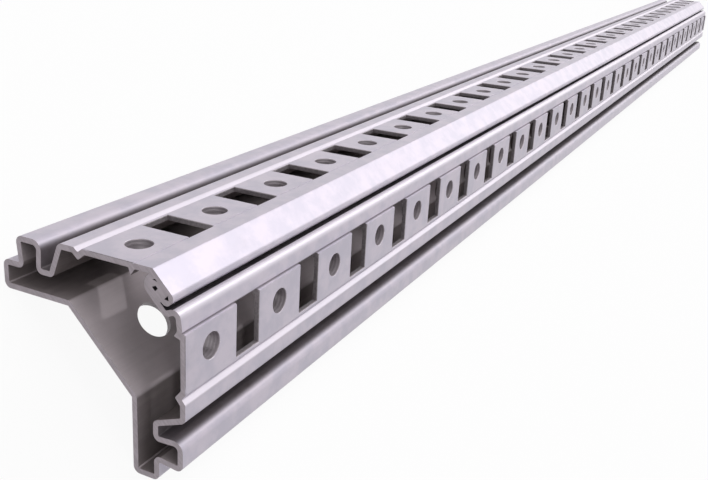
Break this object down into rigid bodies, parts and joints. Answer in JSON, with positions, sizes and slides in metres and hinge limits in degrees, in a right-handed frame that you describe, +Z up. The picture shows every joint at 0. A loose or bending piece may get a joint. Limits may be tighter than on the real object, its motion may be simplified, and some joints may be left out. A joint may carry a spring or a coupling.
{
  "type": "enclosure mounting rail",
  "caption": "Roll-formed galvanised corner rail with two perforated faces at right angles, grooved edges and a hemmed seam, for enclosure frames.",
  "frame": {"origin": "on the floor under the middle of the rail, at the centre of its footprint", "axes": "+X along the rail from its near end to its far end, +Z up, with the seam at the top and the two perforated faces sloping down to +Y and -Y"},
  "size_m": [0.754, 0.0556, 0.0348],
  "materials": {
    "galvanised_steel": "zinc-galvanised sheet steel, dull pale grey with soft rolling marks, bare grey at the sawn ends"
  },
  "bodies": {
    "root": {"rail": "galvanised_steel"}
  },
  "joints": []
}
